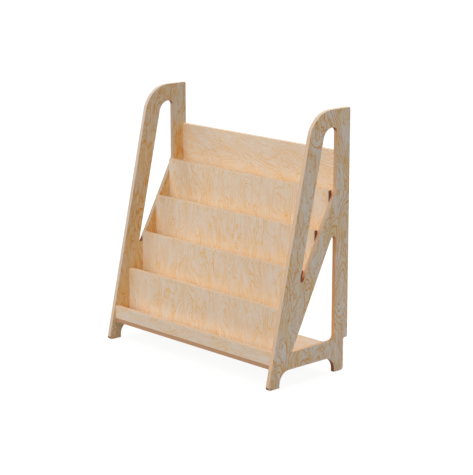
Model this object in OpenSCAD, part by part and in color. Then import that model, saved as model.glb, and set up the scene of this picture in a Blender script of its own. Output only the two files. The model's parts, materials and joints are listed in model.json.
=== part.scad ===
// Bookcase with five stepped pockets that show books face on.
// Two routed plywood side frames carry a base board, a lip, four dividers and a back panel.
// X runs across the front, the front faces -Y, and the feet stand on Z = 0.

/* [Case] */
// Width over both side panels
case_w = 664; // [560:1:800]
// Height of the side panels
case_h = 718; // [700:1:760]
// Depth from the front toe to the back edge
case_d = 296; // [292:1:310]
// Thickness of the side panels
side_t = 12; // [11:0.5:15]
// Thickness of the boards between the side panels
board_t = 12; // [11:0.5:13]

/* [Side panels] */
// Lean of the front edge, in degrees from upright
front_lean = 12.7; // [12:0.1:13.4]
// Width of the leaning front stile, square to its edge
stile_w = 52; // [46:1:56]
// Width of the upright rear leg
leg_w = 50; // [46:1:54]
// Height of the top member above the upper window
crown_w = 48; // [40:1:60]
// Height of the rail over the feet
rail_w = 47; // [40:1:52]
// Height of the arch between the feet
foot_h = 43; // [40:1:46]
// Width of the front foot on the floor
foot_w = 40; // [34:1:46]
// Lean of the brace's upper edge, in degrees from upright
brace_lean = 28.2; // [27.6:0.1:29]
// Lean of the brace's lower edge, in degrees from upright
brace_under_lean = 27; // [26:0.1:27.6]
// Width of the brace's root, along the top of the rail
brace_root_w = 67; // [62:1:72]
// Depth of the notch that clears a skirting board
skirting_d = 15; // [8:1:20]
// Height of the notch that clears a skirting board
skirting_h = 90; // [60:1:110]

/* [Corner radii] */
// Round crown at the top front
crown_r = 85; // [60:1:95]
// Arches of the feet and front top of the upper window
arch_r = 34; // [20:1:36]
// Rear corners of both windows
window_r = 14; // [6:1:18]
// Toe and heel
toe_r = 8; // [4:0.5:10]
// Top point of the lower window
peak_r = 9; // [6:0.5:12]
// Lowest point of the upper window
tip_r = 6; // [4:0.5:7]
// Front corner of the lower window
nook_r = 3; // [2:0.5:6]
// Top rear corner and the notch's inner corner
heel_r = 6; // [3:0.5:8]

/* [Tiers] */
// Height of the base board's upper face
base_z = 62; // [58:1:68]
// Height of the front lip above the base board
lip_h = 35; // [34:1:44]
// How far the lip's face stands behind the front edge
lip_inset = 1; // [0.5:0.1:4]
// Top of the lowest divider
first_top = 200; // [194:1:206]
// Rise from each divider's top to the next
tier_rise = 100; // [97:0.5:103]
// Run from each divider's face to the next
tier_run = 52; // [50:0.5:53]
// Depth of the upper pockets below the divider in front
pocket_drop = 20; // [14:1:24]
// Height of the back panel above the last divider
back_rise = 98; // [80:1:110]

/* [Fittings] */
// Diameter of the wooden dowels
dowel_d = 6; // [5:0.5:7]
// Length of the dowels in the boards' ends
dowel_len = 26; // [22:1:34]
// Depth of a dowel or cam bolt in a side panel
side_bite = 8; // [6:0.5:9]
// Length of the dowels at the floors' front edges
step_dowel_len = 20; // [16:1:26]
// Depth of those dowels in the divider
step_bite = 7; // [5:0.5:8]
// Diameter of the cam locks
cam_d = 12; // [10:0.5:15]
// Height of the cam locks
cam_h = 9; // [7:0.5:9.5]
// Distance of a cam lock's centre from the board's end
cam_reach = 24; // [20:1:34]
// Diameter of the cam bolts' shank
bolt_d = 5; // [4:0.5:6]
// Diameter of the screws
screw_d = 3.5; // [3:0.5:4.5]
// Length of the screws
screw_len = 35; // [30:1:40]
// Gap round each fitting in its hole
fit_gap = 0.1; // [0.05:0.05:0.3]

/* [Hidden] */
$fn = 96;

birch = [0.88, 0.75, 0.58];
birch_dark = [0.78, 0.63, 0.46];
beech = [0.80, 0.62, 0.42];
zinc = [0.70, 0.71, 0.73];

// Front edge, stile and the places of the tiers, measured back from the front toe.
// The toe's round nose lies toe_over behind the point where the front edge would meet the floor.
lean = tan(front_lean);
toe_over = toe_r / tan((90 - front_lean) / 2) - toe_r;
function front_y(z) = lean * z - toe_over;
inner_w = case_w - 2 * side_t;
rail_top = foot_h + rail_w;
leg_y = case_d - leg_w;
heel_y = case_d - skirting_d;
lip_top = base_z + lip_h;
lip_y = front_y(lip_top) + lip_inset;
back_y = case_d - board_t;
tiers = 4;
function top_z(k) = first_top + (k - 1) * tier_rise;
function face_y(k) = k > tiers ? back_y : lip_y + k * tier_run;
function floor_z(k) = k == 0 ? base_z : top_z(k) - pocket_drop;
back_top = top_z(tiers) + back_rise;

// Places of the fittings
dowel_r = dowel_d / 2;
edge_in = board_t / 2;
base_edge = 30;
divider_pins = [25, 70];
pin_share = 0.23;
cam_share = 0.58;
back_pins = [20, 92];
back_cam = 56;
step_xs = [-250, -85, 85, 250];
screw_xs = [-220, 0, 220];
cut = 1;

function unit(v) = v / norm(v);
function flat(p) = [p.x, p.y];

// What an arc of radius r, touching both edges of corner q, leaves between itself and the corner
module corner(p, q, n, r) {
    u = unit(p - q);
    v = unit(n - q);
    half = acos(u * v) / 2;
    c = q + unit(u + v) * r / sin(half);
    a = q + u * r / tan(half);
    b = q + v * r / tan(half);
    spill = 0.02;
    difference() {
        polygon([c, a + (a - c) * spill, q + (q - c) * spill, b + (b - c) * spill]);
        translate(c)
            circle(r);
    }
}

// Outline through points [y, z, radius], each corner bulging outwards and rounded by its radius
module outline(pts) {
    n = len(pts);
    difference() {
        polygon([for (p = pts) flat(p)]);
        for (i = [0:n - 1])
            if (pts[i].z > 0)
                corner(flat(pts[(i + n - 1) % n]), flat(pts[i]), flat(pts[(i + 1) % n]), pts[i].z);
    }
}

// Outer shape of a side panel, with its leaning front edge and round crown
module panel_blank() {
    outline([
        [front_y(0), 0, toe_r],
        [case_d, 0, 0],
        [case_d, case_h, heel_r],
        [front_y(case_h), case_h, crown_r]
    ]);
}

// Space under the rail, between the front and rear feet
module foot_arch() {
    outline([
        [foot_w, -cut, 0],
        [leg_y, -cut, 0],
        [leg_y, foot_h, arch_r],
        [foot_w, foot_h, arch_r]
    ]);
}

// Notch behind the rear foot that clears a skirting board, and the round of the heel below it
module skirting_notch() {
    outline([
        [heel_y, -cut, 0],
        [case_d + cut, -cut, 0],
        [case_d + cut, skirting_h, 0],
        [heel_y, skirting_h, heel_r]
    ]);
    corner([leg_y, 0], [heel_y, 0], [heel_y, skirting_h], toe_r);
}

// Tall window between the stile, the brace, the rear leg and the crown
module upper_window() {
    stile_run = stile_w / cos(front_lean);
    brace_run = tan(brace_lean);
    brace_z = top_z(tiers);
    top = case_h - crown_w;
    tip_z = (front_y(0) + stile_run - leg_y + brace_run * brace_z) / (brace_run - lean);
    outline([
        [front_y(tip_z) + stile_run, tip_z, tip_r],
        [leg_y, brace_z, arch_r],
        [leg_y, top, window_r],
        [front_y(top) + stile_run, top, arch_r]
    ]);
}

// Low window between the brace, the rear leg and the rail
module lower_window() {
    nook_y = front_y(rail_top) + brace_root_w;
    outline([
        [nook_y, rail_top, nook_r],
        [leg_y, rail_top, window_r],
        [leg_y, rail_top + (leg_y - nook_y) / tan(brace_under_lean), peak_r]
    ]);
}

// Point in the middle of floor k's thickness, at a share of its depth from its front edge
function floor_point(k, share) = let (run = face_y(k + 1) - face_y(k))
    [face_y(k) + board_t + share * run, floor_z(k) - edge_in];

// Dowel centres at a board's end, as [y, z] from the front toe and the floor
function base_pin_list() = let (a = lip_y + base_edge, b = heel_y - base_edge, z = base_z - edge_in)
    [[a, z], [(a + b) / 2, z], [b, z]];
function lip_pin_list() = [[lip_y + edge_in, base_z + lip_h / 2]];
function divider_pin_list(k) = [for (d = divider_pins) [face_y(k) + edge_in, floor_z(k - 1) + d]];
function floor_pin_list(k) = [floor_point(k, pin_share)];
function back_pin_list() = [for (d = back_pins) [back_y + edge_in, floor_z(tiers) + d]];

// Cam bolt centres at a board's end
function base_cam_list() = let (pins = base_pin_list()) [(pins[0] + pins[1]) / 2, (pins[1] + pins[2]) / 2];
function floor_cam_list(k) = [floor_point(k, cam_share)];
function back_cam_list() = [[back_y + edge_in, floor_z(tiers) + back_cam]];

all_pins = concat(base_pin_list(), lip_pin_list(), back_pin_list(),
    [for (k = [1:tiers]) each divider_pin_list(k)], [for (k = [1:tiers]) each floor_pin_list(k)]);
all_cams = concat(base_cam_list(), back_cam_list(), [for (k = [1:tiers]) each floor_cam_list(k)]);

// Puts a shape that is measured from the front toe into the case's own frame
module in_case() {
    translate([0, -case_d / 2, 0])
        children();
}

// Rod along X, from x0 to x1, at [y, z]
module rod_x(x0, x1, at, r) {
    translate([x0, at.x, at.y])
        rotate([0, 90, 0])
            cylinder(r = r, h = x1 - x0);
}

// The same thing at both ends of the boards
module both_ends() {
    children();
    mirror([1, 0, 0])
        children();
}

// Right-hand side panel, with its blind holes on the inner face
module side_panel() {
    in_case()
        difference() {
            translate([inner_w / 2, 0, 0])
                rotate([90, 0, 90])
                    linear_extrude(side_t)
                        difference() {
                            panel_blank();
                            foot_arch();
                            skirting_notch();
                            upper_window();
                            lower_window();
                        }
            for (at = all_pins)
                rod_x(inner_w / 2 - cut, inner_w / 2 + side_bite + fit_gap, at, dowel_r + fit_gap);
            for (at = all_cams)
                rod_x(inner_w / 2 - cut, inner_w / 2 + side_bite + fit_gap, at, bolt_d / 2 + fit_gap);
        }
}

module side_panel_right() {
    color(birch_dark)
        side_panel();
}

module side_panel_left() {
    color(birch_dark)
        mirror([1, 0, 0])
            side_panel();
}

// Plain board between the side panels, from [y0, z0] to [y1, z1]
module board(y0, z0, y1, z1) {
    translate([-inner_w / 2, y0, z0])
        cube([inner_w, y1 - y0, z1 - z0]);
}

// Dowel holes in both ends of a board
module end_holes(pins) {
    both_ends()
        for (at = pins)
            rod_x(inner_w / 2 - (dowel_len - side_bite) - fit_gap, inner_w / 2 + cut, at, dowel_r + fit_gap);
}

// Way for a cam bolt into a board's end, and the round pocket for its lock
module cam_holes(places, facing) {
    both_ends()
        for (at = places) {
            rod_x(inner_w / 2 - cam_reach, inner_w / 2 + cut, at, bolt_d / 2 + fit_gap);
            translate([inner_w / 2 - cam_reach, at.x, at.y])
                rotate(facing)
                    translate([0, 0, edge_in - cam_h - fit_gap])
                        cylinder(r = cam_d / 2 + fit_gap, h = cam_h + fit_gap + cut);
        }
}

// Holes for the dowels along a floor's front edge or a divider's back, at [y, z]
module step_holes(k) {
    for (x = step_xs)
        translate([x, face_y(k) + board_t - step_bite - fit_gap, floor_z(k) - edge_in])
            rotate([-90, 0, 0])
                cylinder(r = dowel_r + fit_gap, h = step_dowel_len + 2 * fit_gap);
}

// Countersunk holes up through the board below upright k, and into its lower edge
module screw_holes(k) {
    for (x = screw_xs)
        translate([x, face_y(k) + edge_in, floor_z(max(k - 1, 0)) - board_t])
            screw(fit_gap);
}

// Countersunk screw, point up, wider by gap all round; its hole starts below the board's face
module screw(gap) {
    r = screw_d / 2 + gap;
    rim = 0.3;
    low = gap > 0 ? -cut : 0;
    shank = screw_len - screw_d;
    rotate_extrude()
        polygon([[0, low], [2 * r, low], [2 * r, rim], [r, rim + r], [r, shank], [0, screw_len + gap]]);
}

// Wooden dowel with chamfered ends, along +Z
module dowel(len) {
    c = dowel_r / 4;
    rotate_extrude()
        polygon([[0, 0], [dowel_r - c, 0], [dowel_r, c], [dowel_r, len - c], [dowel_r - c, len], [0, len]]);
}

// Dowels from both ends of a board into the side panels
module end_dowels(pins) {
    color(beech)
        in_case()
            both_ends()
                for (at = pins)
                    translate([inner_w / 2 + side_bite - dowel_len, at.x, at.y])
                        rotate([0, 90, 0])
                            dowel(dowel_len);
}

// Cam bolt: a shank with a neck near its head, which the lock grips
module cam_bolt(at) {
    r = bolt_d / 2;
    head = r;
    neck = bolt_d;
    x0 = inner_w / 2 - cam_reach;
    rod_x(x0, x0 + head, at, r);
    rod_x(x0 + head, x0 + head + neck, at, r / 2);
    rod_x(x0 + head + neck, inner_w / 2 + side_bite, at, r);
}

// Cam lock, open face towards facing, with a way in for the bolt's head and a cross slot
module cam_lock(at, facing) {
    slot_w = cam_d / 8;
    slot_len = cam_d * 0.7;
    slot_h = 2;
    difference() {
        translate([inner_w / 2 - cam_reach, at.x, at.y])
            rotate(facing)
                translate([0, 0, edge_in - cam_h])
                    difference() {
                        cylinder(d = cam_d, h = cam_h);
                        for (a = [0, 90])
                            rotate(a)
                                translate([-slot_len / 2, -slot_w / 2, cam_h - slot_h])
                                    cube([slot_len, slot_w, slot_h + cut]);
                    }
        rod_x(inner_w / 2 - cam_reach - fit_gap, inner_w / 2, at, bolt_d / 2 + fit_gap);
    }
}

down = [180, 0, 0];
rearward = [-90, 0, 0];

module base_board() {
    color(birch)
        in_case()
            difference() {
                board(lip_y, base_z - board_t, heel_y, base_z);
                end_holes(base_pin_list());
                cam_holes(base_cam_list(), down);
                screw_holes(0);
                screw_holes(1);
            }
}

module front_lip() {
    color(birch)
        in_case()
            difference() {
                board(lip_y, base_z, lip_y + board_t, lip_top);
                end_holes(lip_pin_list());
                screw_holes(0);
            }
}

// Upright board k of the tiers, which stands on the floor before it
module divider(k) {
    color(birch)
        in_case()
            difference() {
                board(face_y(k), floor_z(k - 1), face_y(k) + board_t, top_z(k));
                end_holes(divider_pin_list(k));
                screw_holes(k);
                step_holes(k);
            }
}

// Floor of pocket k, from divider k's back to under the next upright
module pocket_floor(k) {
    color(birch)
        in_case()
            difference() {
                board(face_y(k) + board_t, floor_z(k) - board_t, face_y(k + 1) + board_t, floor_z(k));
                end_holes(floor_pin_list(k));
                cam_holes(floor_cam_list(k), down);
                step_holes(k);
                screw_holes(k + 1);
            }
}

module back_panel() {
    color(birch)
        in_case()
            difference() {
                board(back_y, floor_z(tiers), case_d, back_top);
                end_holes(back_pin_list());
                cam_holes(back_cam_list(), rearward);
                screw_holes(tiers + 1);
            }
}

module base_dowels() {
    end_dowels(base_pin_list());
}

module lip_dowels() {
    end_dowels(lip_pin_list());
}

module divider_dowels() {
    end_dowels([for (k = [1:tiers]) each divider_pin_list(k)]);
}

module floor_dowels() {
    end_dowels([for (k = [1:tiers]) each floor_pin_list(k)]);
}

module back_panel_dowels() {
    end_dowels(back_pin_list());
}

module step_dowels() {
    color(beech)
        in_case()
            for (k = [1:tiers])
                for (x = step_xs)
                    translate([x, face_y(k) + board_t - step_bite, floor_z(k) - edge_in])
                        rotate([-90, 0, 0])
                            dowel(step_dowel_len);
}

module cam_bolts() {
    color(zinc)
        in_case()
            both_ends()
                for (at = all_cams)
                    cam_bolt(at);
}

module cam_locks() {
    color(zinc)
        in_case()
            both_ends() {
                for (at = base_cam_list())
                    cam_lock(at, down);
                for (k = [1:tiers])
                    for (at = floor_cam_list(k))
                        cam_lock(at, down);
                for (at = back_cam_list())
                    cam_lock(at, rearward);
            }
}

module edge_screws() {
    color(zinc)
        in_case()
            for (k = [0:tiers + 1])
                for (x = screw_xs)
                    translate([x, face_y(k) + edge_in, floor_z(max(k - 1, 0)) - board_t])
                        screw(0);
}

side_panel_left();
side_panel_right();
base_board();
front_lip();
divider(1);  // divider_1
divider(2);  // divider_2
divider(3);  // divider_3
divider(4);  // divider_4
pocket_floor(1);  // pocket_floor_1
pocket_floor(2);  // pocket_floor_2
pocket_floor(3);  // pocket_floor_3
pocket_floor(4);  // pocket_floor_4
back_panel();
base_dowels();
lip_dowels();
divider_dowels();
floor_dowels();
back_panel_dowels();
step_dowels();
cam_bolts();
cam_locks();
edge_screws();
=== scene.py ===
import json
import math

import bpy
import numpy as np
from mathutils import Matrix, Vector
from mathutils.geometry import tessellate_polygon


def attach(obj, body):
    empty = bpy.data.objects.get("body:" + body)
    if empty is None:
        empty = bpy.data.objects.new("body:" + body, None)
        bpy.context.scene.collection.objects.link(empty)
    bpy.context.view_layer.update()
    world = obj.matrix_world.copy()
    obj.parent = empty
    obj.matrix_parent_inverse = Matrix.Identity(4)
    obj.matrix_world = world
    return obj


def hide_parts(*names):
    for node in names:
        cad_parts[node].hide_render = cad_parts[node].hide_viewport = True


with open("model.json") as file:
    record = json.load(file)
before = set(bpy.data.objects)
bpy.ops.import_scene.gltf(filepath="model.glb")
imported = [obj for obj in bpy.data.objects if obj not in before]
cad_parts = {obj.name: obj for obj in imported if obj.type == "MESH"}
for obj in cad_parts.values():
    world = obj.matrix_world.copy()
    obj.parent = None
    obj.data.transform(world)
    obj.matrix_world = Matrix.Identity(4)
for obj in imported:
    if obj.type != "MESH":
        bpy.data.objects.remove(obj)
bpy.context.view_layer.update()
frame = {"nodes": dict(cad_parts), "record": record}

scene = bpy.context.scene
scene.view_settings.view_transform = "Standard"
print("frame loaded:", len(frame["nodes"]), "nodes")

# the case, as in the part's source: metres back from the front toe and up from the floor, leans in degrees
case = dict(
    width=0.664, height=0.718, depth=0.296, board=0.012,
    frontLean=12.7, stile=0.052, leg=0.050, crown=0.048, rail=0.047, footHigh=0.043, footWide=0.040,
    braceLean=28.2, braceUnderLean=27.0, braceRoot=0.067, skirtingDeep=0.015, skirtingHigh=0.090,
    crownRadius=0.085, archRadius=0.034, windowRadius=0.014, toeRadius=0.008, peakRadius=0.009,
    tipRadius=0.006, nookRadius=0.003, heelRadius=0.006,
    baseTop=0.062, lipHigh=0.035, lipInset=0.001, firstTop=0.200, rise=0.100, run=0.052,
    pocketDrop=0.020, backRise=0.098, tiers=4,
)
# the holes for dowels, cam bolts, cam locks and screws, in metres
fittings = dict(
    dowelRadius=0.0031, boltRadius=0.0026, screwRadius=0.00185, camRadius=0.0061, headRadius=0.0037,
    dowelLength=0.026, stepDowelLength=0.020, screwLength=0.035, camReach=0.024,
    sideBite=0.0081, stepBite=0.007, camDeep=0.0091, headDeep=0.004,
    baseEdge=0.030, dividerPins=(0.025, 0.070), backPins=(0.020, 0.092), backCam=0.056,
    pinShare=0.23, camShare=0.58,  # shares of a pocket floor's depth
    stepXs=(-0.250, -0.085, 0.085, 0.250), screwXs=(-0.220, 0.0, 0.220),
)

lean = math.tan(math.radians(case["frontLean"]))
# the sharp corner that the toe's arc rounds off would lie this far in front of the arc
toeOver = case["toeRadius"] / math.tan(math.radians((90 - case["frontLean"]) / 2)) - case["toeRadius"]
innerHalf = case["width"] / 2 - case["board"]
middleY = case["depth"] / 2
legY = case["depth"] - case["leg"]
heelY = case["depth"] - case["skirtingDeep"]
backY = case["depth"] - case["board"]
railTop = case["footHigh"] + case["rail"]
lipTop = case["baseTop"] + case["lipHigh"]
halfBoard = case["board"] / 2
pinDeep = fittings["dowelLength"] - fittings["sideBite"]
boltDeep = fittings["camReach"] - fittings["camRadius"]
screwDeep = fittings["screwLength"] - case["board"]
stepDeep = fittings["stepDowelLength"] - fittings["stepBite"]
tiers = range(1, case["tiers"] + 1)
origin = np.array([0, -middleY, 0])


def frontY(z):
    return lean * z - toeOver


lipY = frontY(lipTop) + case["lipInset"]
# the upper window runs down to a narrow tip between the front stile and the brace, which ends in an arc
stileRun = case["stile"] / math.cos(math.radians(case["frontLean"]))  # the stile's level width
braceRun = math.tan(math.radians(case["braceLean"]))
braceTop = case["firstTop"] + (case["tiers"] - 1) * case["rise"]
tipZ = (frontY(0) + stileRun - legY + braceRun * braceTop) / (braceRun - lean)
tipY = frontY(tipZ) + stileRun
tipHalf = math.radians(case["braceLean"] - case["frontLean"]) / 2
tipTurn = math.radians(case["braceLean"]) - tipHalf
tipReach = case["tipRadius"] / math.sin(tipHalf)
tipCentre = (0, tipY + tipReach * math.sin(tipTurn) - middleY, tipZ + tipReach * math.cos(tipTurn))


# tier 0 is the base with its lip, the next ones are the dividers, and past them stands the back panel
def topZ(tier):
    return case["firstTop"] + (tier - 1) * case["rise"]  # upper edge


def faceY(tier):
    return backY if tier > case["tiers"] else lipY + tier * case["run"]  # front face


def floorZ(tier):
    return case["baseTop"] if tier == 0 else topZ(tier) - case["pocketDrop"]  # floor behind it


def floorPoint(tier, share):
    # middle of the floor board's thickness, at a share of its depth
    return (faceY(tier) + case["board"] + share * (faceY(tier + 1) - faceY(tier)), floorZ(tier) - halfBoard)


# dowel and cam bolt centres at the boards' ends, as (y, z)
basePinYs = (lipY + fittings["baseEdge"], (lipY + heelY) / 2, heelY - fittings["baseEdge"])
basePins = [(y, case["baseTop"] - halfBoard) for y in basePinYs]
baseCams = [((a[0] + b[0]) / 2, a[1]) for a, b in zip(basePins, basePins[1:])]
lipPins = [(lipY + halfBoard, case["baseTop"] + case["lipHigh"] / 2)]
dividerPins = {
    k: [(faceY(k) + halfBoard, floorZ(k - 1) + up) for up in fittings["dividerPins"]] for k in tiers}
floorPins = {k: [floorPoint(k, fittings["pinShare"])] for k in tiers}
floorCams = {k: [floorPoint(k, fittings["camShare"])] for k in tiers}
backPins = [(backY + halfBoard, floorZ(case["tiers"]) + up) for up in fittings["backPins"]]
backCams = [(backY + halfBoard, floorZ(case["tiers"]) + fittings["backCam"])]
allPins = basePins + lipPins + backPins + sum(dividerPins.values(), []) + sum(floorPins.values(), [])
allCams = baseCams + backCams + sum(floorCams.values(), [])


def roundedLoop(corners, steps=10, smallRadius=0.0015, smallSteps=2):
    # each corner (u, v, radius) turns on an arc that touches both its edges:
    # centre = corner + bisector * radius / sin(half angle); normals point away from the solid on the left
    points, normals, ends = [], [], []
    for i, corner in enumerate(corners):
        radius = corner[2]
        before, here, after = (np.array(corners[j % len(corners)][:2], float) for j in (i - 1, i, i + 1))
        back, ahead = before - here, after - here
        back, ahead = back / np.linalg.norm(back), ahead / np.linalg.norm(ahead)
        half = math.acos(float(back @ ahead)) / 2
        centre = here + (back + ahead) / np.linalg.norm(back + ahead) * radius / math.sin(half)
        start = here + back * radius / math.tan(half) - centre
        end = here + ahead * radius / math.tan(half) - centre
        turn = math.atan2(start[0] * end[1] - start[1] * end[0], start @ end)
        count = (steps if radius > smallRadius else smallSteps) + 1
        angle = math.atan2(start[1], start[0]) + np.linspace(0, turn, count)
        spoke = np.stack([np.cos(angle), np.sin(angle)], 1)
        points.append(centre + radius * spoke)
        normals.append(spoke * (1 if turn > 0 else -1))
        ends.append(sum(len(p) for p in points) - 1)
    return np.concatenate(points), np.concatenate(normals), ends


class Surface:
    # gathers points, faces and one normal for each face corner, then makes the mesh
    def __init__(self):
        self.points, self.count = [], 0
        self.faces, self.normals = [], []

    def addPoints(self, points):
        first = self.count
        self.points.append(np.asarray(points, float).reshape(-1, 3))
        self.count += len(self.points[-1])
        return first

    def addFaces(self, faces, normals):
        self.faces.append(np.asarray(faces, int))
        self.normals.append(np.asarray(normals, float))

    def addBand(self, rows, rowNormals, skip=()):
        # quads between neighbouring rows of a closed ring; skip holds (row, column) pairs that stay open
        row, column = np.meshgrid(np.arange(rows.shape[0] - 1), np.arange(rows.shape[1]), indexing="ij")
        following = (column + 1) % rows.shape[1]
        keep = np.ones(row.shape, bool)
        for pair in skip:
            keep[pair] = False
        corners = [(row, column), (row, following), (row + 1, following), (row + 1, column)]
        self.addFaces(
            np.stack([rows[c] for c in corners], -1)[keep],
            np.stack([rowNormals[c] for c in corners], -2)[keep])

    def addFlat(self, rings, normal):
        # fills the first ring less the others, all in one plane, with each triangle turned to the normal
        every = np.concatenate(self.points)
        tris = np.array(tessellate_polygon([every[ring].tolist() for ring in rings]))
        tris = np.concatenate(rings)[tris]
        p = every[tris]
        area = np.cross(p[:, 1] - p[:, 0], p[:, 2] - p[:, 0]) @ normal
        tris[area < 0] = tris[area < 0][:, ::-1]
        self.addFaces(tris, np.broadcast_to(normal, (len(tris), 3, 3)))

    def addBore(self, centre, normal, radius, depth, bevel=0.0003, sides=28, oblique=(0.31, 0.57, 0.76)):
        # hole along -normal: rings of radii[row] at depths[row] and a flat bottom; gives its mouth's ring
        normal = np.asarray(normal, float)
        side = np.cross(normal, oblique)
        side /= np.linalg.norm(side)
        angle = np.linspace(0, 2 * np.pi, sides, endpoint=False)[:, None]
        spoke = side * np.cos(angle) + np.cross(normal, side) * np.sin(angle)
        radii, depths = np.array([radius + bevel, radius, radius]), np.array([0, bevel, depth])
        ring = centre + radii[:, None, None] * spoke - depths[:, None, None] * normal
        ids = self.addPoints(ring) + np.arange(3 * sides).reshape(3, sides)
        slope = (normal - spoke) / math.sqrt(2)
        self.addBand(ids[:2], np.stack([slope, slope]))
        self.addBand(ids[1:], np.stack([-spoke, -spoke]))
        bottom = self.addPoints(centre - depth * normal)
        fan = np.stack([np.full(sides, bottom), ids[2], np.roll(ids[2], -1)], 1)
        self.addFaces(fan, np.broadcast_to(normal, (sides, 3, 3)))
        return ids[0]

    def toObject(self, name, grain):
        mesh = bpy.data.meshes.new(name)
        points = np.concatenate(self.points)
        faces = [face for block in self.faces for face in block.tolist()]
        mesh.from_pydata(points.tolist(), [], faces)
        attribute = mesh.attributes.new("grain", "FLOAT_VECTOR", "POINT")
        attribute.data.foreach_set("vector", grain(points).astype(np.float32).ravel())
        mesh.polygons.foreach_set("use_smooth", np.ones(len(faces), bool))
        corners = np.concatenate([n.reshape(-1, 3) for n in self.normals])
        mesh.normals_split_custom_set(corners.tolist())
        mesh.validate(clean_customdata=False)
        made = bpy.data.objects.new(name, mesh)
        scene.collection.objects.link(made)
        return made


def slab(name, outline, cutouts, axes, span, ease, capBores=(), wallBores=(), across="u", seed=0, slant=0,
        easeSteps=4, seedShift=(1.7, 2.3)):
    # slab whose outline lies in (u, v) and whose thickness runs along w: the eased edge is a quarter circle,
    # inset = ease(1 - sin t), height = ease(1 - cos t), carried round every loop; cap -1 lies at span[0] and
    # cap 1 at span[1], and wall n follows the outline's corner n
    surface = Surface()
    axes = np.array(axes, float)
    t = np.linspace(0, np.pi / 2, easeSteps)
    inset = ease * (1 - np.sin(np.concatenate([t, t[::-1]])))
    height = np.concatenate([span[0] + ease * (1 - np.cos(t)), span[1] - ease * (1 - np.cos(t[::-1]))])
    tilt = np.concatenate([-np.cos(t), np.cos(t[::-1])])
    sweep = np.concatenate([np.sin(t), np.sin(t[::-1])])
    foot = easeSteps - 1  # the wall lies between this row of points and the next
    low, high = [], []

    def mouths(holes, opening, out):
        # drills the holes with that opening and gives the rings of their mouths
        return [surface.addBore(at, out, radius, deep) for on, at, radius, deep in holes if on == opening]

    for corners in [outline, *cutouts]:
        points, normals, ends = roundedLoop(corners)
        flat = points[None] - inset[:, None, None] * normals[None]
        size = (*flat.shape[:2], 1)
        local = np.concatenate([flat, np.broadcast_to(height[:, None, None], size)], 2)
        ids = surface.addPoints(origin + local @ axes) + np.arange(flat[..., 0].size).reshape(size[:2])
        facing = [sweep[:, None, None] * normals[None], np.broadcast_to(tilt[:, None, None], size)]
        skip = []
        boredWalls = sorted({bore[0] for bore in wallBores}) if corners is outline else ()
        for wall in boredWalls:
            # a wall with holes is filled round their mouths
            a = ends[wall]
            b = (a + 1) % len(points)
            out = np.append(normals[a], 0) @ axes
            rim = ids[[foot, foot, foot + 1, foot + 1], [a, b, b, a]]
            surface.addFlat([rim, *mouths(wallBores, wall, out)], out)
            skip.append((foot, a))
        surface.addBand(ids, np.concatenate(facing, 2) @ axes, skip)
        low.append(ids[0])
        high.append(ids[-1])
    for sign, rings in ((-1, low), (1, high)):
        out = sign * axes[2]
        surface.addFlat([*rings, *mouths(capBores, sign, out)], out)
    middle, halfSpan = (span[0] + span[1]) / 2, (span[1] - span[0]) / 2

    def grain(points):
        # metres across and along the face veneer's grain, and -1 to 1 through the thickness
        u, v, w = ((points - origin) @ axes.T).T
        if across == "v":
            u, v = v, u
        return np.stack(
            [u + slant * v + seedShift[0] * seed, v + seedShift[1] * seed, (w - middle) / halfSpan], 1)

    return surface.toObject(name, grain)


# eased edges; a plain corner is a little rounder, so that the inset outline doesn't cross itself
edges = dict(panelEase=0.0010, boardEase=0.0006, panelCorner=0.0012, boardCorner=0.0008)


def bores(opening, places, radius, deep):
    # round holes, each as (wall or cap that it opens on, centre, radius, depth)
    return [(opening, origin + place, radius, deep) for place in places]


def sidePanel(name, side, seed):
    plain = edges["panelCorner"]
    windowTop = case["height"] - case["crown"]
    nookY = frontY(railTop) + case["braceRoot"]
    peakZ = railTop + (legY - nookY) / math.tan(math.radians(case["braceUnderLean"]))
    outline = [
        (frontY(0), 0, case["toeRadius"]),
        (case["footWide"], 0, plain),
        (case["footWide"], case["footHigh"], case["archRadius"]),
        (legY, case["footHigh"], case["archRadius"]),
        (legY, 0, plain),
        (heelY, 0, case["toeRadius"]),
        (heelY, case["skirtingHigh"], case["heelRadius"]),
        (case["depth"], case["skirtingHigh"], plain),
        (case["depth"], case["height"], case["heelRadius"]),
        (frontY(case["height"]), case["height"], case["crownRadius"])]
    upper = [
        (tipY, tipZ, case["tipRadius"]),
        (frontY(windowTop) + stileRun, windowTop, case["archRadius"]),
        (legY, windowTop, case["windowRadius"]),
        (legY, braceTop, case["archRadius"])]
    lower = [
        (nookY, railTop, case["nookRadius"]),
        (legY, peakZ, case["peakRadius"]),
        (legY, railTop, case["windowRadius"])]
    # u runs back, v up and w along +X, so the right panel's inner face is its low cap, and the left one's
    # its high cap
    span = (innerHalf, innerHalf + case["board"]) if side > 0 else (-innerHalf - case["board"], -innerHalf)
    holes = []
    for points, radius in ((allPins, fittings["dowelRadius"]), (allCams, fittings["boltRadius"])):
        holes += bores(-side, [(side * innerHalf, y, z) for y, z in points], radius, fittings["sideBite"])
    return slab(name, outline, [upper, lower], [(0, 1, 0), (0, 0, 1), (1, 0, 0)], span, edges["panelEase"],
        capBores=holes, seed=seed)


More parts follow.
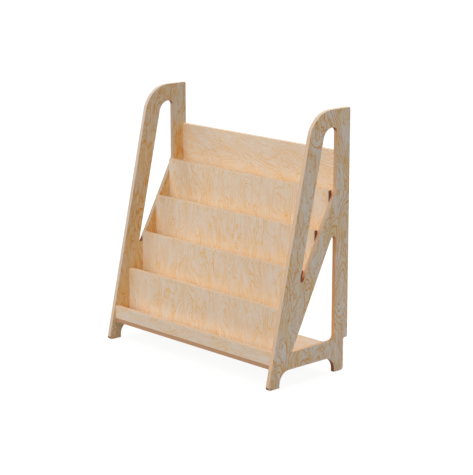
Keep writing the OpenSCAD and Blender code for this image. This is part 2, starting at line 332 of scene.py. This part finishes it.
def crossBoard(name, lowest, highest, endPins=(), endCams=(), camFace=None, headYs=(), edgeScrews=None,
        capDowels=None, edgeDowels=None, across="u", seed=0, slant=0):
    # plain board between the side panels, from (y, z) to (y, z); its thickness runs along Y where it stands
    # upright, and otherwise along Z
    plain, screwXs, stepXs = edges["boardCorner"], fittings["screwXs"], fittings["stepXs"]
    (y0, z0), (y1, z1) = lowest, highest
    upright = z1 - z0 > y1 - y0
    if upright:
        # u along -X, v up, w along Y
        axes, v0, v1, span = [(-1, 0, 0), (0, 0, 1), (0, 1, 0)], z0, z1, (y0, y1)
    else:
        # u along X, v back, w up
        axes, v0, v1, span = [(1, 0, 0), (0, 1, 0), (0, 0, 1)], y0, y1, (z0, z1)
    outline = [
        (-innerHalf, v0, plain), (innerHalf, v0, plain), (innerHalf, v1, plain), (-innerHalf, v1, plain)]
    # wall 0 is the edge at v0, wall 1 the end at +u, wall 2 the edge at v1, wall 3 the end at -u
    walls, caps = [], []
    for end in (1, -1):
        wall = 2 + end if upright else 2 - end
        endX, camX = end * innerHalf, end * (innerHalf - fittings["camReach"])
        walls += bores(wall, [(endX, y, z) for y, z in endPins], fittings["dowelRadius"], pinDeep)
        walls += bores(wall, [(endX, y, z) for y, z in endCams], fittings["boltRadius"], boltDeep)
        cap = -1 if camFace == "under" else 1
        camPlaces = [(camX, y, z0) if cap < 0 else (camX, y1, z) for y, z in endCams]
        caps += bores(cap, camPlaces, fittings["camRadius"], fittings["camDeep"])
    for y in headYs:
        caps += bores(-1, [(x, y, z0) for x in screwXs], fittings["headRadius"], fittings["headDeep"])
    if edgeScrews is not None:
        walls += bores(0, [(x, edgeScrews, z0) for x in screwXs], fittings["screwRadius"], screwDeep)
    if capDowels is not None:
        caps += bores(1, [(x, y1, capDowels) for x in stepXs], fittings["dowelRadius"], fittings["stepBite"])
    if edgeDowels is not None:
        walls += bores(0, [(x, y0, edgeDowels) for x in stepXs], fittings["dowelRadius"], stepDeep)
    return slab(name, outline, [], axes, span, edges["boardEase"], capBores=caps, wallBores=walls,
        across=across, seed=seed, slant=slant)


boards = {}
boards["side_panel_left"] = sidePanel("sideFrameLeft", -1, seed=1)
boards["side_panel_right"] = sidePanel("sideFrameRight", 1, seed=14)
boards["base_board"] = crossBoard(
    "baseBoard", (lipY, case["baseTop"] - case["board"]), (heelY, case["baseTop"]),
    endPins=basePins, endCams=baseCams, camFace="under", headYs=(lipY + halfBoard, faceY(1) + halfBoard),
    across="v", seed=3)
boards["front_lip"] = crossBoard(
    "frontLip", (lipY, case["baseTop"]), (lipY + case["board"], lipTop),
    endPins=lipPins, edgeScrews=lipY + halfBoard, across="v", seed=4)
for k in tiers:
    boards["divider_%d" % k] = crossBoard(
        "divider%d" % k, (faceY(k), floorZ(k - 1)), (faceY(k) + case["board"], topZ(k)),
        endPins=dividerPins[k], edgeScrews=faceY(k) + halfBoard, capDowels=floorZ(k) - halfBoard, seed=4 + k)
    boards["pocket_floor_%d" % k] = crossBoard(
        "pocketFloor%d" % k, (faceY(k) + case["board"], floorZ(k) - case["board"]),
        (faceY(k + 1) + case["board"], floorZ(k)), endPins=floorPins[k], endCams=floorCams[k],
        camFace="under", headYs=(faceY(k + 1) + halfBoard,), edgeDowels=floorZ(k) - halfBoard,
        across="v", seed=8 + k)
boards["back_panel"] = crossBoard(
    "backPanel", (backY, floorZ(case["tiers"])), (case["depth"], topZ(case["tiers"]) + case["backRise"]),
    endPins=backPins, endCams=backCams, camFace="rear", edgeScrews=backY + halfBoard,
    across="v", seed=13, slant=-0.3)
for node, board in boards.items():
    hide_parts(node)
    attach(board, "root")
print("boards made:", len(boards), "with", sum(len(b.data.polygons) for b in boards.values()), "faces")


class Net:
    # shorthand for one tree of shader nodes; a socket given as a value is linked
    def __init__(self, tree):
        self.tree = tree
        tree.nodes.clear()

    def add(self, kind, sockets=None, **settings):
        node = self.tree.nodes.new("ShaderNode" + kind)
        for name, value in settings.items():
            setattr(node, name, value)
        for name, value in (sockets or {}).items():
            if isinstance(value, bpy.types.NodeSocket):
                self.tree.links.new(value, node.inputs[name])
            else:
                node.inputs[name].default_value = value
        return node

    def math(self, operation, first, *others, clamp=False):
        # the others follow one after another; clamp holds the result between 0 and 1
        for other in others or (0.0,):
            first = self.add("Math", {0: first, 1: other}, operation=operation, use_clamp=clamp).outputs[0]
        return first

    def plus(self, *values):
        return self.math("ADD", *values)

    def minus(self, a, b):
        return self.math("SUBTRACT", a, b)

    def times(self, *values):
        return self.math("MULTIPLY", *values)

    def least(self, *values):
        return self.math("MINIMUM", *values)

    def most(self, *values):
        return self.math("MAXIMUM", *values)

    def parts(self, vector):
        return self.add("SeparateXYZ", {0: vector}).outputs

    def vector(self, operation, a, b=(0, 0, 0), result="Vector"):
        return self.add("VectorMath", {0: a, 1: b}, operation=operation).outputs[result]

    def noise(self, place, stretch, detail=1.0, roughness=0.5):
        scaled = self.vector("MULTIPLY", place, stretch)
        settings = {"Vector": scaled, "Scale": 1.0, "Detail": detail, "Roughness": roughness}
        return self.add("TexNoise", settings).outputs[0]

    def ramp(self, value, low, high, start=0.0, end=1.0):
        ends = {0: value, 1: low, 2: high, 3: start, 4: end}
        return self.add("MapRange", ends, interpolation_type="SMOOTHSTEP").outputs[0]

    def blend(self, share, a, b, kind="MIX"):
        return self.add("Mix", {0: share, 6: a, 7: b}, data_type="RGBA", blend_type=kind).outputs[2]

    def tint(self, share, colour, factor):
        return self.blend(share, colour, factor, "MULTIPLY")

    def shader(self, sockets, height, bump):
        # the plain shader, with a bump of (strength, depth in metres) that follows the height
        normal = self.add("Bump", {"Height": height, "Strength": bump[0], "Distance": bump[1]}).outputs[0]
        shaded = self.add("BsdfPrincipled", {**sockets, "Normal": normal})
        self.add("OutputMaterial", {0: shaded.outputs[0]})


def newMaterial(name):
    mat = bpy.data.materials.new(name)
    mat.use_nodes = True
    return mat, Net(mat.node_tree)


# every pattern is (width, length, scale through the board, detail, roughness), its sizes in metres on the
# grain, but a thread's width is a share of a ring and its scale runs across; a range is the two values
# between which a pattern comes in
birch = dict(
    broad=(0.055, 0.140, 2.0, 1.0, 0.4), fine=(0.012, 0.028, 3.0, 3.0, 0.6),
    rings=11, wiggle=1.7, drift=50.0, slopeStep=0.001,
    lineWide=0.0024, lineSharp=0.0005, bandShare=0.14,  # a ring line's soft side, sharp side and faint band
    patch=(0.050, 0.100, 1.0, 1.0, 0.5), patchRange=(0.36, 0.60), faintest=0.15,  # where lines are fainter
    mottle=(0.020, 0.080, 4.0, 3.0, 0.6), mottleRange=(0.36, 0.68),
    streak=(0.0038, 0.070, 5.0, 3.0, 0.65), streakRange=(0.50, 0.72),
    thread=(1 / 4.5, 0.040, 25.0, 2.0, 0.6), threadRange=(0.52, 0.70),
    dash=(0.0026, 0.012, 6.0, 1.0, 0.5), dashRange=(0.66, 0.80), dashShare=0.6, fleck=(0.60, 0.33, 0.12, 1),
    shadeRange=(0.25, 0.75), shade=(1.015, 0.975),
    faceFrom=(0.90, 0.95),  # share of half the thickness where the plies end and the face begins
)
plyEdge = dict(
    plies=9, pores=520.0, poreRange=(0.2, 0.7), poreShare=0.55, glueWide=0.10, glueShare=0.5,
    # painted light: the plies are paler on edges that face up
    topRange=(0.3, 0.9), topShare=0.8,
)
# dark marks, painted shade in the foot arches, the windows' tips and on downward faces, and darker board
# ends: places in metres, and facings from -1 for straight down to 1 for straight up
marks = dict(
    endIn=(0.0010, 0.0004), endShare=0.93,
    archFacing=(0.02, 0.12), archHigh=(0.030, 0.046), archShare=0.95,
    tipAway=(0.007, 0.017), tipShare=0.97,
    underFacing=(-0.75, 0.15), underShare=0.9,
)
# the lacquer's gloss and bump, and where painted light and shade fall: inner faces, window cuts, left
# against right, by the floor and in recesses
lacquerAndPaintedLight = dict(
    innerFrom=(0.0003, 0.0012), cutSoft=0.001,
    betweenFrames=(-0.3, 0.3), rightShare=0.3, floorShare=0.25,
    openRange=(1.0, 0.35), openSamples=8,
    streakPart=0.5, roughRange=(0.0, 1.2), rough=(0.48, 0.60), specular=0.3,
    lineDent=-0.4, bump=(0.12, 0.0002),
)
# the side frames' veneer is the livelier one; the tints of the left frame's edges, the window cuts, the
# inner faces, the recesses and the lowest pocket are painted light and shade, and so is the paler ply colour
# on top
frameFigure = dict(
    clear=(0.765, 0.705, 0.640, 1), warm=(0.78, 0.605, 0.38, 1), line=(0.71, 0.31, 0.00, 1),
    strong=1.45, streaks=0.33, threads=0.8,
    darkMark=(0.28, 0.06, 0.00, 1), leftEdgeLight=(0.93, 1.05, 1.20, 1),
    windowCutShade=(0.80, 0.77, 0.73, 1), windowShare=0.8,
    plyPale=(0.76, 0.54, 0.38, 1), plyDark=(0.67, 0.46, 0.31, 1), plyLitTop=(0.76, 0.58, 0.42, 1),
    glue=(0.50, 0.33, 0.21, 1),
    inner=(0.77, 0.75, 0.71, 1), recessGlow=(1.40, 1.16, 0.72, 1), recessReach=0.25, recessFrom=(0.05, 0.075),
)
shelfFigure = dict(
    clear=(0.772, 0.652, 0.545, 1), warm=(0.782, 0.602, 0.437, 1), line=(0.78, 0.44, 0.09, 1),
    strong=1.05, streaks=0.25, threads=0.5,
    darkMark=(0.25, 0.065, 0.022, 1),
    plyPale=(0.60, 0.34, 0.19, 1), plyDark=(0.51, 0.275, 0.14, 1), plyLitTop=(0.80, 0.63, 0.47, 1),
    glue=(0.36, 0.20, 0.11, 1),
    inner=(1, 1, 1, 1), recessGlow=(1.17, 1.19, 1.14, 1), recessReach=0.10, recessFrom=(0.044, 0.058),
    lowest=(1.08, 1.11, 1.18, 1), lowestTo=(0.135, 0.10),
)


def ringFigure(net, grain, figure):
    # the veneer's figure: level lines of rings * broad noise + wiggle * fine noise + drift * across; the
    # distance from a line is the height left over, divided by the slope, so that all lines are equally wide
    across, along, through = net.parts(grain)

    def pattern(kind, place):
        wide, long, deep, detail, roughness = birch[kind]
        return net.noise(place, (1 / wide, 1 / long, deep), detail, roughness)

    def ringHeight(place):
        broad = net.times(pattern("broad", place), birch["rings"])
        fine = net.times(pattern("fine", place), birch["wiggle"])
        return net.plus(broad, fine, net.times(net.parts(place)[0], birch["drift"]))

    def slopeSquared(step):
        beside = ringHeight(net.vector("ADD", grain, step))
        return net.math("POWER", net.math("DIVIDE", net.minus(beside, height), max(step)), 2.0)

    height = ringHeight(grain)
    step = birch["slopeStep"]
    slope = net.math("SQRT", net.plus(slopeSquared((step, 0, 0)), slopeSquared((0, step, 0))))
    saw = net.math("FRACT", height)
    rest = net.minus(1.0, saw)
    fading = net.ramp(net.math("DIVIDE", saw, slope), 0.0, birch["lineWide"], 1.0, 0.0)
    sharp = net.ramp(net.math("DIVIDE", rest, slope), 0.0, birch["lineSharp"], 1.0, 0.0)
    band = net.times(net.math("POWER", rest, 2.0), birch["bandShare"])
    patch = net.ramp(pattern("patch", grain), *birch["patchRange"], birch["faintest"])
    line = net.times(net.most(fading, sharp, band), patch)
    streak = pattern("streak", grain)
    # threads run beside the lines, since they are noise along the same height
    thread = pattern("thread", net.add("CombineXYZ", {0: height, 1: along, 2: across}).outputs[0])
    # clear wood, warmer bands, straight streaks, threads, ring lines and small flecks over each other
    mottle = net.ramp(pattern("mottle", grain), *birch["mottleRange"])
    wood = net.blend(mottle, figure["clear"], figure["warm"])
    wood = net.blend(net.ramp(streak, *birch["streakRange"], 0.0, figure["streaks"]), wood, figure["line"])
    wood = net.blend(net.ramp(thread, *birch["threadRange"], 0.0, figure["threads"]), wood, figure["line"])
    wood = net.blend(net.math("MULTIPLY", line, figure["strong"], clamp=True), wood, figure["line"])
    dash = net.ramp(pattern("dash", grain), *birch["dashRange"], 0.0, birch["dashShare"])
    return net.blend(dash, wood, birch["fleck"]), line, streak, through


def plyLayers(net, spot, through, upward, figure):
    # plies on the edges: even ones pale, odd ones dark, with a glue line at each join, and painted light
    # makes them paler on edges that face up
    depth = net.times(net.plus(through, 1.0), plyEdge["plies"] / 2)
    odd = net.math("MODULO", net.math("FLOOR", depth), 2.0)
    pores = net.noise(spot, (plyEdge["pores"],) * 3, detail=2.0, roughness=0.6)
    dark = net.times(odd, net.ramp(pores, *plyEdge["poreRange"], 1.0, plyEdge["poreShare"]))
    layers = net.blend(dark, figure["plyPale"], figure["plyDark"])
    join = net.ramp(net.math("PINGPONG", depth, 0.5), 0.0, plyEdge["glueWide"], plyEdge["glueShare"], 0.0)
    layers = net.blend(join, layers, figure["glue"])
    return net.blend(
        net.ramp(upward, *plyEdge["topRange"], 0.0, plyEdge["topShare"]), layers, figure["plyLitTop"])


def birchPly(name, figure, forFrames):
    mat, net = newMaterial(name)
    grain = net.add("Attribute", attribute_name="grain").outputs["Vector"]
    spot = net.add("TexCoord").outputs["Object"]
    x, y, z = net.parts(spot)
    fromMiddle = net.math("ABSOLUTE", x)
    upward = net.parts(net.add("NewGeometry").outputs["Normal"])[2]
    wood, line, streak, through = ringFigure(net, grain, figure)
    layers = plyLayers(net, spot, through, upward, figure)
    if forFrames:
        # painted shade darkens the foot arches and the upper windows' tips
        arch = net.times(
            net.ramp(upward, *marks["archFacing"], marks["archShare"], 0.0),
            net.ramp(z, *marks["archHigh"], 1.0, 0.0))
        sideways = net.vector("MULTIPLY", spot, (0, 1, 1))
        awayFromTip = net.vector("DISTANCE", sideways, tipCentre, result="Value")
        darkPlaces = net.most(arch, net.ramp(awayFromTip, *marks["tipAway"], marks["tipShare"], 0.0))
        # painted light: the left frame's edges are cooler
        layers = net.tint(net.ramp(x, *lacquerAndPaintedLight["betweenFrames"], 1.0, 0.0), layers, figure["leftEdgeLight"])
    else:
        # the boards are darkened over the last millimetre of their ends
        endFrom, endTo = (innerHalf - inside for inside in marks["endIn"])
        darkPlaces = net.ramp(fromMiddle, endFrom, endTo, 0.0, marks["endShare"])
    # painted shade: faces that turn downward are darkened
    under = net.ramp(upward, *marks["underFacing"], marks["underShare"], 0.0)
    layers = net.blend(net.most(under, darkPlaces), layers, figure["darkMark"])
    face = net.ramp(net.math("ABSOLUTE", through), *birch["faceFrom"])
    colour = net.blend(face, layers, wood)
    colour = net.tint(1.0, colour, net.ramp(streak, *birch["shadeRange"], *birch["shade"]))
    # painted shade darkens and warms the frames' inner faces, the left one most; painted bounce light
    # warms the frames near the boards and pales the boards where they meet, all less so by the pale floor
    innerFrom, innerTo = (innerHalf + past for past in lacquerAndPaintedLight["innerFrom"])
    inward = net.ramp(fromMiddle, innerFrom, innerTo, 1.0, 0.0)
    aboveFloor = net.ramp(z, *figure["recessFrom"], lacquerAndPaintedLight["floorShare"], 1.0)
    leftMore = net.ramp(x, *lacquerAndPaintedLight["betweenFrames"], 1.0, lacquerAndPaintedLight["rightShare"])
    colour = net.tint(net.times(inward, aboveFloor, leftMore), colour, figure["inner"])
    # painted bounce light: a tint wherever the ambient occlusion finds other boards near
    reach = {"Distance": figure["recessReach"]}
    openness = net.add("AmbientOcclusion", reach, samples=lacquerAndPaintedLight["openSamples"]).outputs["AO"]
    tinted = net.most(inward, net.minus(1.0, face))
    recessGlowShare = net.times(net.ramp(openness, *lacquerAndPaintedLight["openRange"]), tinted, aboveFloor)
    if forFrames:
        # painted shade makes the windows' cuts darker than the outline's; within is the least distance past
        # a line in each bar of the frame
        share = figure["windowShare"]
        ahead = net.minus(y, net.times(z, lean))
        within = net.least(
            net.minus(ahead, frontY(0) + share * stileRun - middleY),
            net.minus(middleY - share * case["leg"], y),
            net.minus(z, case["footHigh"] + share * case["rail"]),
            net.minus(case["height"] - share * case["crown"], z))
        cut = net.times(net.ramp(within, 0.0, lacquerAndPaintedLight["cutSoft"]), net.minus(1.0, net.most(face, recessGlowShare)))
        colour = net.tint(cut, colour, figure["windowCutShade"])
    else:
        # painted bounce light makes the lowest pocket's bottom paler than the others'; it starts half a
        # board behind the lip
        behindLip = net.math("GREATER_THAN", y, lipY + case["board"] + halfBoard - middleY)
        lowest = net.times(recessGlowShare, behindLip, net.ramp(z, *figure["lowestTo"]))
        colour = net.tint(lowest, colour, figure["lowest"])
    colour = net.tint(recessGlowShare, colour, figure["recessGlow"])
    figured = net.plus(line, net.times(streak, lacquerAndPaintedLight["streakPart"]))
    rough = net.ramp(figured, *lacquerAndPaintedLight["roughRange"], *lacquerAndPaintedLight["rough"])
    net.shader(
        {"Base Color": colour, "Roughness": rough, "Specular IOR Level": lacquerAndPaintedLight["specular"]},
        net.plus(net.times(line, lacquerAndPaintedLight["lineDent"]), streak), lacquerAndPaintedLight["bump"])
    return mat


frameVeneer = birchPly("frameVeneer", frameFigure, forFrames=True)
shelfVeneer = birchPly("shelfVeneer", shelfFigure, forFrames=False)
# the base, the lip and the back panel are quieter than the other boards
levelVeneer = birchPly("levelVeneer", dict(shelfFigure, strong=0.85, threads=0.38), forFrames=False)
veneers = dict.fromkeys(("base_board", "front_lip", "back_panel"), levelVeneer)
veneers.update(side_panel_left=frameVeneer, side_panel_right=frameVeneer)
for node, board in boards.items():
    board.data.materials.append(veneers.get(node, shelfVeneer))

dowelWood = dict(
    dark=(0.62, 0.42, 0.25, 1), pale=(0.74, 0.54, 0.35, 1), ray=(0.42, 0.24, 0.13, 1),
    streaks=(40.0, 900.0, 900.0), streakRange=(0.3, 0.7), rays=(350.0, 1500.0, 1500.0),
    rayRange=(0.62, 0.72), rayShare=0.6, roughness=0.6, bump=(0.2, 0.0002),
)
zinc = dict(
    dark=(0.50, 0.51, 0.53, 1), pale=(0.68, 0.69, 0.70, 1), clouds=(260.0, 260.0, 260.0),
    cloudRange=(0.3, 0.7), brushing=(2600.0, 500.0, 900.0), roughRange=(0.6, 1.4), rough=(0.28, 0.46),
    bump=(0.12, 0.0001),
)


def beechDowel():
    mat, net = newMaterial("beechDowel")
    spot = net.add("TexCoord").outputs["Object"]
    streak = net.noise(spot, dowelWood["streaks"], detail=3.0, roughness=0.6)
    ray = net.ramp(net.noise(spot, dowelWood["rays"]), *dowelWood["rayRange"], 0.0, dowelWood["rayShare"])
    colour = net.blend(net.ramp(streak, *dowelWood["streakRange"]), dowelWood["dark"], dowelWood["pale"])
    colour = net.blend(ray, colour, dowelWood["ray"])
    net.shader({"Base Color": colour, "Roughness": dowelWood["roughness"]}, streak, dowelWood["bump"])
    return mat


def zincSteel():
    mat, net = newMaterial("zincSteel")
    spot = net.add("TexCoord").outputs["Object"]
    cloud = net.noise(spot, zinc["clouds"], detail=3.0, roughness=0.6)
    brush = net.noise(spot, zinc["brushing"], detail=2.0)
    colour = net.blend(net.ramp(cloud, *zinc["cloudRange"]), zinc["dark"], zinc["pale"])
    rough = net.ramp(net.plus(cloud, brush), *zinc["roughRange"], *zinc["rough"])
    net.shader({"Base Color": colour, "Roughness": rough, "Metallic": 1.0}, brush, zinc["bump"])
    return mat


finishes = {"beech_dowel": beechDowel(), "zinc_steel": zincSteel()}
slotOf = {part["node"]: part["material_slot"] for part in frame["record"]["subparts"]}
for node, fitting in frame["nodes"].items():
    if node not in boards:
        for materialSlot in fitting.material_slots:
            materialSlot.material = finishes[slotOf[node]]
print("materials made:", [m.name for m in (frameVeneer, shelfVeneer, levelVeneer, *finishes.values())])

# camera: to the right of the case and looking down on it, with a long lens; angles in radians
shot = dict(place=(3.3712, -3.1194, 1.4034), yaw=0.8164, down=0.2291, lens=129.66, sensor=36, farthest=60)
camera = bpy.data.objects.new("camera", bpy.data.cameras.new("camera"))
scene.collection.objects.link(camera)
camera.location = shot["place"]
yaw, down = shot["yaw"], shot["down"]
look = Vector((-math.sin(yaw) * math.cos(down), math.cos(yaw) * math.cos(down), -math.sin(down)))
camera.rotation_mode = "QUATERNION"
camera.rotation_quaternion = look.to_track_quat("-Z", "Y")
camera.data.sensor_width = shot["sensor"]
camera.data.lens = shot["lens"]
camera.data.clip_end = shot["farthest"]
scene.camera = camera

# studio: a dim even sky, a pale floor and soft lamps, each (degrees from the front, degrees up, watts)
studio = dict(
    sky=0.26, reach=3.2, lampSize=1.8, aim=(0, 0, 0.3),
    floorSize=40, floorTone=0.52, shadowShare=0.12, backdrop=0.92,
    fade=(0.6, 2.5),  # metres from the case where the floor turns plain white
    lamps=dict(
        front=(0, 40, 7), frontLeft=(-45, 40, 29), low=(0, 12, 19),
        top=(0, 75, 21), rear=(180, 40, 76), right=(80, 20, 11.5)),
)
white = (1, 1, 1, 1)


def backdropShare(net):
    # 1 for rays that show the backdrop: from the camera, from gloss and through glass
    path = net.add("LightPath").outputs
    return net.most(path["Is Camera Ray"], path["Is Glossy Ray"], path["Is Transmission Ray"])


world = bpy.data.worlds.new("studioSky")
scene.world = world
world.use_nodes = True
net = Net(world.node_tree)
dim = net.add("Background", {"Color": white, "Strength": studio["sky"]}).outputs[0]
full = net.add("Background", {"Color": white, "Strength": 1.0}).outputs[0]
net.add("OutputWorld", {0: net.add("MixShader", {0: backdropShare(net), 1: dim, 2: full}).outputs[0]})

for name, (azimuth, elevation, watts) in studio["lamps"].items():
    lamp = bpy.data.objects.new(name + "Lamp", bpy.data.lights.new(name + "Lamp", "AREA"))
    scene.collection.objects.link(lamp)
    lamp.data.shape = "DISK"
    lamp.data.size = studio["lampSize"]
    lamp.data.energy = watts
    turned, raised = math.radians(azimuth), math.radians(elevation)
    level = math.cos(raised)
    away = Vector((math.sin(turned) * level, -math.cos(turned) * level, math.sin(raised)))
    lamp.location = Vector(studio["aim"]) + away * studio["reach"]
    lamp.rotation_mode = "QUATERNION"
    lamp.rotation_quaternion = (-away).to_track_quat("-Z", "Y")

half = studio["floorSize"] / 2
floorCorners = [(-half, -half, 0), (half, -half, 0), (half, half, 0), (-half, half, 0)]
floorMesh = bpy.data.meshes.new("floor")
floorMesh.from_pydata(floorCorners, [], [(0, 1, 2, 3)])
floor = bpy.data.objects.new("floor", floorMesh)
scene.collection.objects.link(floor)
floorPaint, net = newMaterial("floorPaint")
tone, shadowShare = studio["floorTone"], studio["shadowShare"]
lit = net.add("BsdfDiffuse", {"Color": (tone, tone, tone, 1)}).outputs[0]
shadow = net.add("BsdfDiffuse", {"Color": (shadowShare, shadowShare, shadowShare, 1)}).outputs[0]
# the far floor is plain white; nearer the case it leaves room for the shadow
far = net.vector("LENGTH", net.add("TexCoord").outputs["Object"], result="Value")
glow = net.ramp(far, *studio["fade"], studio["backdrop"], 1.0)
glowing = net.add("Emission", {"Color": white, "Strength": glow}).outputs[0]
shown = net.add("AddShader", {0: shadow, 1: glowing}).outputs[0]
net.add("OutputMaterial", {0: net.add("MixShader", {0: backdropShare(net), 1: lit, 2: shown}).outputs[0]})
floorMesh.materials.append(floorPaint)
print("camera and studio ready")
